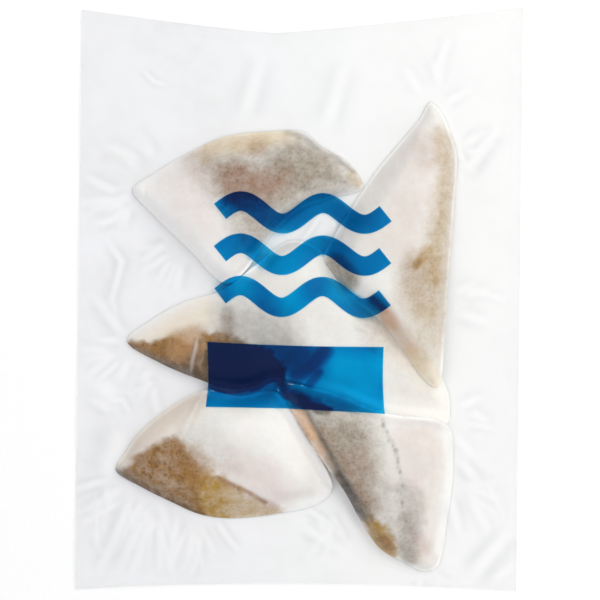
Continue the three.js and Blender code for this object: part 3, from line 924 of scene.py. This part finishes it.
class Film:
    """The upper film as heights on a grid that spans the pouch from edge to edge, with the marks
    that its material reads."""

    def __init__(self):
        self.u = np.linspace(-1, 1, FILM_COLUMNS + 1)
        along = np.linspace(0, 1, FILM_ROWS + 1)[:, None]
        self.low, self.high = bottom_edge(self.u), top_edge(self.u)
        self.x = np.broadcast_to(self.u * POUCH_WIDTH / 2, (FILM_ROWS + 1, FILM_COLUMNS + 1))
        self.y = self.low + (self.high - self.low) * along
        self.lower = lower_film_height(self.x, self.y)
        self.z, self.marks = self.drape()

    def drape(self):
        """Stretches the film over the fillets. Each place hangs a little under the mean of its four
        neighbours, unless a fillet or the lower film holds it up, and creases and crinkles are added
        to it. Haze is where the film spans a gap, and along a milky crease, where it is a painted
        glint."""
        contents = np.zeros_like(self.x)
        for fillet in FILLETS.values():
            top, depth = fillet_top(fillet, self.x, self.y)
            over = np.maximum(contents, FILLET_FLOOR + top + FILM_GAP)
            contents = np.where(depth > 0, over, contents)
        held = np.maximum(self.lower + EDGE_GAP, contents)
        film = held.copy()
        cell = POUCH_WIDTH / FILM_COLUMNS
        drop = FILM_CURL * cell ** 2 / 4
        for _ in range(FILM_SWEEPS):
            film[1:-1, 1:-1] = np.maximum(held[1:-1, 1:-1], mean_beside(film) - drop)
        ridges, glint_milk, flank_shade, crest_highlight = crease_height(self.x, self.y)
        loose = ease((film - contents) / LOOSE_OVER)
        crinkle = np.hypot(uneven_layers(self.x, self.y, CRINKLES), CRINKLE_SOFT)
        crinkle = crinkle * (CRINKLE_TAUT + (1 - CRINKLE_TAUT) * loose)
        film = film + (ridges + crinkle) * ease(rim_distance(self.x, self.y) / RIM_FLAT)
        # haze over gaps, plus the painted glints of the milky creases
        haze_and_glints = FILM_MILK * ease((film - contents - HAZE_FROM) / HAZE_OVER) + glint_milk
        marks = {"haze_and_glints": haze_and_glints, "flank_shade": flank_shade, "crest_highlight": crest_highlight}
        return film, {channel: np.clip(values, 0, 1) for channel, values in marks.items()}

    def at(self, x, y):
        """Height of the film over any place of the pouch, blended between the grid's points."""
        column = (x / POUCH_WIDTH + 0.5) * FILM_COLUMNS
        low, high = np.interp(x, self.x[0], self.low), np.interp(x, self.x[0], self.high)
        return between(self.z, (y - low) / (high - low) * FILM_ROWS, column)


def rim_distance(x, y):
    """How far inside the pouch's rim a place lies, straight across or straight along."""
    u = x / (POUCH_WIDTH / 2)
    side = POUCH_WIDTH / 2 - np.abs(x)
    return np.minimum(side, np.minimum(y - bottom_edge(u), top_edge(u) - y))


def lower_film_height(x, y):
    """The lower film lies flat under the fillets and in low waves under the empty edges."""
    waves = (1 + np.sin(2 * np.pi * x / WAVE_ACROSS) * np.sin(2 * np.pi * y / WAVE_ALONG)) / 2
    out = np.maximum(np.abs(x) / (POUCH_WIDTH / 2), np.abs(y) / (POUCH_LENGTH / 2))
    return WAVE_HEIGHT * waves * ease((out - WAVE_FROM) / (1 - WAVE_FROM))


def settle_outlines():
    """Cuts each fillet's smooth outline, then moves the points that lie inside a neighbour out
    to a hair inside its edge, so that the fillets lean on each other with no slit between them.
    The lifted fillet keeps its outline, because it lies over its neighbours."""
    for fillet in FILLETS.values():
        fillet["smooth"] = smooth_outline(fillet["outline"], OUTLINE_POINTS)
    for fillet in FILLETS.values():
        for other in FILLETS.values():
            if other is fillet or "lift" in fillet or "lift" in other:
                continue
            x, y = fillet["smooth"].T
            depth, out_x, out_y = depth_inside(other["smooth"], x, y)
            push = np.maximum(depth - OVERLAP, 0)
            fillet["smooth"] = np.stack([x + out_x * push, y + out_y * push], axis=1)


def pressed_height(fillet, x, y):
    """The most that a fillet may reach where the lifted fillet lies on it: just under that
    one's underside, and rising from there at an even slope outside its outline."""
    limit = np.full(x.shape, np.inf)
    for other in FILLETS.values():
        if other is fillet or "lift" not in other:
            continue
        depth = depth_inside(other["smooth"], x, y)[0]
        under = FILLET_FLOOR + lift_under(other, y) - PRESSED_GAP
        limit = np.minimum(limit, under + PRESSED_SLOPE * np.maximum(-depth - PRESSED_GAP, 0))
    return limit


# ---------------------------------------------------------------- meshes

def grid_faces(rows, columns, wrap=False):
    """Quads between the rows and columns of a grid of points, closed round where it wraps."""
    row, column = np.meshgrid(np.arange(rows - 1), np.arange(columns - (not wrap)), indexing="ij")
    beside = (column + 1) % columns
    corners = [row * columns + column, row * columns + beside,
               (row + 1) * columns + beside, (row + 1) * columns + column]
    return np.stack([corner.ravel() for corner in corners], axis=1)


def fan_faces(ring, pole):
    """Triangles from each step of a closed ring of points to its pole."""
    ring = np.asarray(ring)
    return np.stack([ring, np.roll(ring, -1), np.full(len(ring), pole)], axis=1)


def wall_faces(upper, lower):
    """Quads between two closed rings with as many points each."""
    return np.stack([upper, lower, np.roll(lower, -1), np.roll(upper, -1)], axis=1)


def rim_loop(rows, columns):
    """The points along the four sides of a grid, as one closed ring."""
    index = np.arange(rows * columns).reshape(rows, columns)
    return np.concatenate([index[0, :-1], index[:-1, -1], index[-1, :0:-1], index[:0:-1, 0]])


def make_piece(name, points, faces, material, attributes):
    """A smooth mesh object from points in mm and lists of faces, with its numbers per vertex."""
    mesh = bpy.data.meshes.new(name)
    corners = [face for part in faces for face in part.tolist()]
    mesh.from_pydata((np.asarray(points) * MM).tolist(), [], corners)
    for attribute, values in attributes.items():
        layer = mesh.attributes.new(attribute, "FLOAT", "POINT")
        layer.data.foreach_set("value", np.asarray(values, np.float32))
    mesh.polygons.foreach_set("use_smooth", np.ones(len(mesh.polygons), bool))
    mesh.materials.append(material)
    mesh.validate()
    mesh.update()
    piece = bpy.data.objects.new(name, mesh)
    bpy.context.scene.collection.objects.link(piece)
    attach(piece, "root")
    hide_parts(NODE)
    return piece


def make_fillet(name, material):
    """A closed skin round one fillet: rings from its outline in to its heart, closer together
    near the rim where the side is steep, for the upper face, and flat rings for the underside."""
    fillet = FILLETS[name]
    rim = fillet["smooth"]
    if np.cross(rim[0] - fillet["heart"], rim[1] - fillet["heart"]) < 0:
        rim = rim[::-1]
    heart = np.array(fillet["heart"], float)
    upper = 1 - (np.arange(RINGS) / RINGS) ** RIM_CROWDING
    lower = 1 - np.arange(UNDER_FILLET_RINGS) / UNDER_FILLET_RINGS
    top_rings = heart + (rim - heart) * upper[:, None, None]
    low_rings = heart + (rim - heart) * lower[:, None, None]
    top_x, top_y = np.vstack([top_rings.reshape(-1, 2), heart]).T
    low_x, low_y = np.vstack([low_rings.reshape(-1, 2), heart]).T
    top_z = fillet_top(fillet, top_x, top_y)[0]
    top_z = np.minimum(FILLET_FLOOR + top_z, pressed_height(fillet, top_x, top_y))
    low_z = FILLET_FLOOR + lift_under(fillet, low_y)
    top_z = np.maximum(top_z, FILLET_FLOOR + lift_under(fillet, top_y) + LEAST_THICKNESS)
    points = np.stack([np.r_[top_x, low_x], np.r_[top_y, low_y], np.r_[top_z, low_z]], axis=1)
    tops = RINGS * OUTLINE_POINTS + 1
    around = np.arange(OUTLINE_POINTS)
    inner_top = (RINGS - 1) * OUTLINE_POINTS
    inner_low = tops + (UNDER_FILLET_RINGS - 1) * OUTLINE_POINTS
    faces = [
        grid_faces(RINGS, OUTLINE_POINTS, wrap=True),
        fan_faces(inner_top + around, tops - 1),
        wall_faces(around, tops + around)[:, ::-1],
        grid_faces(UNDER_FILLET_RINGS, OUTLINE_POINTS, wrap=True)[:, ::-1] + tops,
        fan_faces(inner_low + around, len(points) - 1)[:, ::-1],
    ]
    paint = skin_marks(name, top_x, top_y)
    lows = len(points) - tops
    attributes = {channel: np.r_[values, np.zeros(lows)] for channel, values in paint.items()}
    return make_piece("fillet_" + name, points, faces, material, attributes)


def make_film(film, material):
    """The pouch as one closed envelope: the upper film's grid, and the lower film as rings that
    shrink from the rim to the middle. Both share their edge through a narrow sealed rim."""
    rows, columns = film.z.shape
    loop = rim_loop(rows, columns)
    rim = np.stack([film.x.ravel()[loop], film.y.ravel()[loop]], axis=1)
    low_x, low_y = np.vstack([(rim * LOWER_SHARES[:, None, None]).reshape(-1, 2), [[0, 0]]]).T
    low_z = lower_film_height(low_x, low_y)
    tops = film.z.size
    points = np.stack([
        np.r_[film.x.ravel(), low_x], np.r_[film.y.ravel(), low_y], np.r_[film.z.ravel(), low_z],
    ], axis=1)
    around = np.arange(len(loop))
    innermost = tops + (len(LOWER_SHARES) - 1) * len(loop)
    faces = [
        grid_faces(rows, columns),
        wall_faces(loop, tops + around),
        grid_faces(len(LOWER_SHARES), len(loop), wrap=True)[:, ::-1] + tops,
        fan_faces(innermost + around, len(points) - 1)[:, ::-1],
    ]
    attributes = {channel: np.r_[values.ravel(), np.zeros(len(low_x))]
                  for channel, values in film.marks.items()}
    attributes["seal"] = seal_band(points[:, 0], points[:, 1])
    return make_piece("pouch_film", points, faces, material, attributes)


def seal_band(x, y):
    """1 in the welded band along the pouch's rim, 0 inside it."""
    return 1 - ease((rim_distance(x, y) - SEAL_WIDTH) / SEAL_FADE)


def make_print(name, x, y, film, material):
    """A printed shape as a thin slab of ink on the film: a grid of places in the pack, laid a
    hair above the film, with the same grid again just under it and a wall round its rim."""
    rows, columns = x.shape
    top = film.at(x, y) + INK_LIFT + INK_THICKNESS
    grid = np.stack([x.ravel(), y.ravel(), top.ravel()], axis=1)
    points = np.vstack([grid, grid - [0, 0, INK_THICKNESS]])
    upper, loop = grid_faces(rows, columns), rim_loop(rows, columns)
    faces = [upper, upper[:, ::-1] + len(grid), wall_faces(loop, len(grid) + loop)]
    dark = np.tile(ink_darkness(x.ravel(), y.ravel()), 2)
    return make_piece(name, points, faces, material, {"dark": dark})


def bar_grid():
    """The bar between its four corners, its sides bent in by a shallow sine along each."""
    v, u = np.meshgrid(np.linspace(0, 1, BAR_ROWS), np.linspace(0, 1, BAR_COLUMNS), indexing="ij")
    top_left, top_right, low_right, low_left = on_pack(BAR_CORNERS)
    low = low_left + (low_right - low_left) * u[..., None]
    high = top_left + (top_right - top_left) * u[..., None]
    place = low + (high - low) * v[..., None]
    x = place[..., 0] - BAR_BOW * np.sin(np.pi * v) * (2 * u - 1)
    y = place[..., 1] - BAR_BOW * np.sin(np.pi * u) * (2 * v - 1)
    return x, y


def band_grid(middle):
    """One printed wave round the height of its middle: a sine of two periods, given its width
    along the normal of the line."""
    across, along = np.linspace(-0.5, 0.5, BAND_ROWS), np.linspace(0, 1, BAND_COLUMNS)
    v, u = np.meshgrid(across, along, indexing="ij")
    left, right = on_pack(WAVE_CORNERS)[:, 0]
    length = right - left
    turn = 2 * np.pi * BAND_PERIODS * u
    slope = BAND_SWING * np.cos(turn) * 2 * np.pi * BAND_PERIODS / length
    tilt = np.hypot(1, slope)
    x = left + length * u - v * BAND_WIDTH * slope / tilt
    y = middle + BAND_SWING * np.sin(turn) + v * BAND_WIDTH / tilt
    return x, y


# ---------------------------------------------------------------- materials

def linear(hex_colour):
    """A hex sRGB colour as the linear RGBA that the shader nodes take."""
    parts = [int(hex_colour[i:i + 2], 16) / 255 for i in (1, 3, 5)]
    return [p / 12.92 if p <= 0.04045 else ((p + 0.055) / 1.055) ** 2.4 for p in parts] + [1]


def add(tree, kind, inputs=None, **settings):
    """Adds a shader node with its settings, and sets each input to a value or links it to
    another node's output."""
    node = tree.nodes.new("ShaderNode" + kind)
    for key, value in settings.items():
        setattr(node, key, value)
    for key, value in (inputs or {}).items():
        if isinstance(value, bpy.types.NodeSocket):
            tree.links.new(value, node.inputs[key])
        else:
            node.inputs[key].default_value = value
    return node


def new_material(name):
    """An empty material with its tree and its output node."""
    material = bpy.data.materials.new(name)
    material.use_nodes = True
    tree = material.node_tree
    tree.nodes.clear()
    return material, tree, add(tree, "OutputMaterial")


def grain(tree, size, detail=3, roughness=0.6, low=0.35, high=0.65):
    """Noise whose features measure size mm, spread over 0 to 1."""
    place = add(tree, "TexCoord").outputs["Object"]
    noise = add(tree, "TexNoise", {"Vector": place, "Scale": 1 / (size * MM), "Detail": detail,
                                   "Roughness": roughness})
    return add(tree, "MapRange", {"Value": noise.outputs["Fac"], "From Min": low, "From Max": high}
               ).outputs["Result"]


def number(tree, operation, *values, clamp=False):
    """One step of arithmetic between numbers or outputs."""
    step = add(tree, "Math", dict(enumerate(values)), operation=operation, use_clamp=clamp)
    return step.outputs["Value"]


def tint(tree, share, under, over):
    """The over colour laid on the under one by a share."""
    mixed = add(tree, "Mix", {0: share, 6: under, 7: over}, data_type="RGBA")
    return mixed.outputs[2]


def painted(tree, channel):
    """A piece's own number per vertex."""
    return add(tree, "Attribute", attribute_name=channel).outputs["Fac"]


def cod_skin():
    """Wet cod skin with its flesh: a pearly belly with a faint blush, grey brown and ochre on the
    back with darker flecks 1 to 2 mm across, and moist, faintly see-through flesh at a cut."""
    material, tree, output = new_material("cod_skin_and_flesh")
    flecks = grain(tree, FLECK_SIZE, detail=2, low=0.46, high=0.72)
    gaps = grain(tree, GAP_SIZE, detail=1, low=0.5, high=0.75)
    mottle = grain(tree, MOTTLE_SIZE, detail=2, low=0.3, high=0.7)
    cloud = grain(tree, CLOUD_SIZE, detail=2)
    patchy = number(tree, "MULTIPLY_ADD", mottle, PIGMENT_PATCHY, PIGMENT_LEAST)

    def share(channel, strength=1.0):
        held = number(tree, "MULTIPLY", painted(tree, channel), strength)
        return number(tree, "MULTIPLY", held, patchy, clamp=True)

    colour = tint(tree, cloud, linear(BELLY_PALE), linear(BELLY_WHITE))
    colour = tint(tree, number(tree, "MULTIPLY", mottle, BLUSH), colour, linear(SKIN_PINK))
    # the white channel: bright belly, and painted light on pale edges and on belly turned from the key
    # light
    colour = tint(tree, painted(tree, "white"), colour, linear(BELLY_BRIGHT_AND_PAINTED_LIGHT))
    for channel, pigment in PIGMENTS.items():
        colour = tint(tree, share(channel), colour, linear(pigment))
    dense = number(tree, "MULTIPLY", flecks, mottle)
    back = tint(tree, dense, linear(SKIN_OCHRE), linear(SKIN_BROWN))
    colour = tint(tree, share("brown"), colour, back)
    coat = COAT_LEAST
    for channel, strength in COATS.items():
        coat = number(tree, "ADD", share(channel, strength), coat, clamp=True)
    flecked = number(tree, "MULTIPLY", number(tree, "MULTIPLY", flecks, coat), FLECKED)
    colour = tint(tree, flecked, colour, linear(SKIN_FLECK))
    bare = number(tree, "MULTIPLY", number(tree, "MULTIPLY", gaps, coat), BARE)
    colour = tint(tree, bare, colour, linear(SKIN_CREAM))
    colour = tint(tree, share("deep"), colour, linear(SKIN_DEEP))
    colour = tint(tree, share("spot", SPOTTED), colour, linear(SKIN_SPOT))
    flesh = tint(tree, mottle, linear(FLESH_RAW), linear(FLESH_PALE))
    colour = tint(tree, painted(tree, "cut"), colour, flesh)
    bump = add(tree, "Bump", {"Strength": 0.2, "Distance": 0.2 * MM, "Height": mottle})
    shader = add(tree, "BsdfPrincipled", {
        "Base Color": colour, "Roughness": 0.55, "Specular IOR Level": 0.3,
        "Normal": bump.outputs["Normal"], "Subsurface Weight": 0.2,
        "Subsurface Radius": (1.0, 0.6, 0.45), "Subsurface Scale": 1.5 * MM,
    })
    tree.links.new(shader.outputs["BSDF"], output.inputs["Surface"])
    return material


def pouch_film():
    """Co-extruded nylon and polyethylene film, 0.1 mm thick and blown: clear and glossy where it
    clings to the fish, faintly milky where it spans a gap and in the welded rim, with painted glints
    along its milky creases, painted shade on the flanks of its folds and towards the pouch's left
    side, and painted highlights along the folds' crests."""
    material, tree, output = new_material("vacuum_pouch_film")
    crinkle = grain(tree, CRINKLE_SIZE, detail=3, low=0.35, high=0.7)
    milky = number(tree, "ADD", painted(tree, "haze_and_glints"), FILM_CLEAR)
    welded = number(tree, "MULTIPLY_ADD", painted(tree, "seal"), FILM_WELDED, milky)
    bump = add(tree, "Bump", {"Strength": 0.15, "Distance": 0.4 * MM, "Height": crinkle})
    place = add(tree, "SeparateXYZ", {0: add(tree, "TexCoord").outputs["Object"]})
    # painted shade: the film is drawn darker towards the pouch's left side
    across = add(tree, "MapRange", {
        "Value": place.outputs["X"], "From Min": FILM_SHADE_FROM * MM, "From Max": FILM_SHADE_TO * MM,
    }).outputs["Result"]
    passed = tint(tree, across, linear(FILM_PASS_SHADED_LEFT), linear(FILM_PASS_LIT_RIGHT))
    thickness = number(tree, "MULTIPLY_ADD", crinkle, FILM_CRUMPLED, FILM_UNEVEN)
    thickness = number(tree, "MULTIPLY", thickness, grain(tree, FILM_CLOUD_SIZE, detail=3))
    less_shade_right = number(tree, "MULTIPLY_ADD", across, -FILM_SHADE_LESS_RIGHT, 1)
    passed = tint(tree, number(tree, "MULTIPLY", thickness, less_shade_right), passed, linear(FILM_THICK))
    # painted shade on the flanks of the creases
    passed = tint(tree, painted(tree, "flank_shade"), passed, linear(FILM_FLANK_SHADE))
    # painted highlight along the creases' tops
    passed = tint(tree, painted(tree, "crest_highlight"), passed, linear(FILM_CREST_HIGHLIGHT))
    clear = add(tree, "BsdfTransparent", {"Color": passed})
    turned_back = add(tree, "BsdfPrincipled", {
        "Base Color": linear(FILM_WHITE), "Roughness": 0.4, "IOR": 1.5,
        "Normal": bump.outputs["Normal"],
    })
    let_through = add(tree, "BsdfTranslucent", {"Color": linear(FILM_WHITE)})
    body = add(tree, "MixShader", {0: FILM_THROUGH, 1: turned_back.outputs["BSDF"],
                                   2: let_through.outputs["BSDF"]})
    sheet = add(tree, "MixShader", {0: welded, 1: clear.outputs["BSDF"], 2: body.outputs["Shader"]})
    gloss = add(tree, "BsdfGlossy", {"Color": (1, 1, 1, 1), "Roughness": FILM_GLOSS,
                                     "Normal": bump.outputs["Normal"]})
    slant = add(tree, "LayerWeight", {"Blend": 0.5, "Normal": bump.outputs["Normal"]})
    steep = number(tree, "POWER", slant.outputs["Facing"], FRESNEL_POWER)
    mirrored = number(tree, "MULTIPLY_ADD", steep, 1 - FILM_MIRROR, FILM_MIRROR)
    blend = add(tree, "MixShader", {0: mirrored, 1: sheet.outputs["Shader"], 2: gloss.outputs["BSDF"]})
    tree.links.new(blend.outputs["Shader"], output.inputs["Surface"])
    return material


def blue_ink():
    """Flexographic ink printed on the film: a see-through blue that filters what lies under it,
    bright over pale flesh and navy where the film clings to dark skin."""
    material, tree, output = new_material("flexographic_blue_ink")
    dark = painted(tree, "dark")
    streaks = grain(tree, INK_STREAK_SIZE, detail=2)
    passed = tint(tree, dark, linear(INK_FILTER), linear(INK_DENSE))
    filtered = add(tree, "BsdfTransparent", {"Color": passed})
    shade = number(tree, "MULTIPLY_ADD", streaks, INK_STREAKS, dark, clamp=True)
    body = add(tree, "BsdfPrincipled", {
        "Base Color": tint(tree, shade, linear(INK_BRIGHT), linear(INK_NAVY)),
        "Roughness": 0.35, "Specular IOR Level": 0.2,
    })
    covered = number(tree, "MULTIPLY_ADD", dark, INK_DARK_BODY, INK_BODY)
    blend = add(tree, "MixShader", {0: covered, 1: filtered.outputs["BSDF"], 2: body.outputs["BSDF"]})
    tree.links.new(blend.outputs["Shader"], output.inputs["Surface"])
    return material


def white_paper():
    """Matt white paper under the pack, uncoated and without a mark on it."""
    material, tree, output = new_material("matt_white_paper")
    fibres = grain(tree, PAPER_GRAIN, detail=2)
    colour = tint(tree, fibres, linear(PAPER_SHADE), linear(PAPER_WHITE))
    shader = add(tree, "BsdfPrincipled", {
        "Base Color": colour, "Roughness": 0.9, "Specular IOR Level": 0.0,
    })
    tree.links.new(shader.outputs["BSDF"], output.inputs["Surface"])
    return material


# ---------------------------------------------------------------- stage

def make_floor(material):
    """A pale floor just under the pack."""
    mesh = bpy.data.meshes.new("floor")
    corners = np.array([(-1, -1), (1, -1), (1, 1), (-1, 1)]) * FLOOR_REACH * MM
    mesh.from_pydata([(x, y, FLOOR_HEIGHT * MM) for x, y in corners.tolist()], [], [(0, 1, 2, 3)])
    mesh.materials.append(material)
    floor = bpy.data.objects.new("floor", mesh)
    bpy.context.scene.collection.objects.link(floor)


def light_studio():
    """A pale room and a soft light over each corner of the pack, so that its flat film mirrors
    none of them. The one from the upper right is the brightest and the smallest."""
    world = bpy.data.worlds.new("studio")
    world.use_nodes = True
    sky = world.node_tree.nodes["Background"]
    sky.inputs["Color"].default_value = ROOM_COLOUR
    sky.inputs["Strength"].default_value = ROOM_LIGHT
    bpy.context.scene.world = world
    for name, (place, side, power) in LIGHTS.items():
        lamp = bpy.data.lights.new(name, "AREA")
        lamp.shape, lamp.size, lamp.energy = "SQUARE", side, power
        lamp.color = KEY_COLOUR if name == "key" else FILL_COLOUR
        light = bpy.data.objects.new(name, lamp)
        light.location = place
        light.rotation_euler = (-Vector(place)).to_track_quat("-Z", "Y").to_euler()
        bpy.context.scene.collection.objects.link(light)


def make_camera():
    """Straight above the pack, turned as little as the pack is in the photograph. Its height
    makes the frame span the photograph's width at the height of the pouch's rim."""
    lens = bpy.data.cameras.new("camera")
    lens.lens, lens.sensor_width, lens.sensor_height = CAMERA_LENS, SENSOR, SENSOR
    camera = bpy.data.objects.new("camera", lens)
    height = PHOTO_SPAN * MM * CAMERA_LENS / SENSOR
    camera.location = (CAMERA_AIM[0] * MM, CAMERA_AIM[1] * MM, height)
    camera.rotation_euler = (0, 0, math.radians(PHOTO_TURN))
    bpy.context.scene.collection.objects.link(camera)
    bpy.context.scene.camera = camera


# ---------------------------------------------------------------- the whole

settle_outlines()
skin = cod_skin()
for fillet_name in FILLETS:
    make_fillet(fillet_name, skin)
upper_film = Film()
make_film(upper_film, pouch_film())
ink = blue_ink()
make_print("print_bar", *bar_grid(), upper_film, ink)
wave_heights = np.linspace(*on_pack(WAVE_CORNERS)[:, 1], 2 * BAND_COUNT + 1)[1::2]
for order, wave_height in enumerate(wave_heights, start=1):
    make_print(f"print_wave_{order}", *band_grid(wave_height), upper_film, ink)
make_floor(white_paper())
light_studio()
make_camera()
bpy.context.scene.view_settings.view_transform = "Standard"
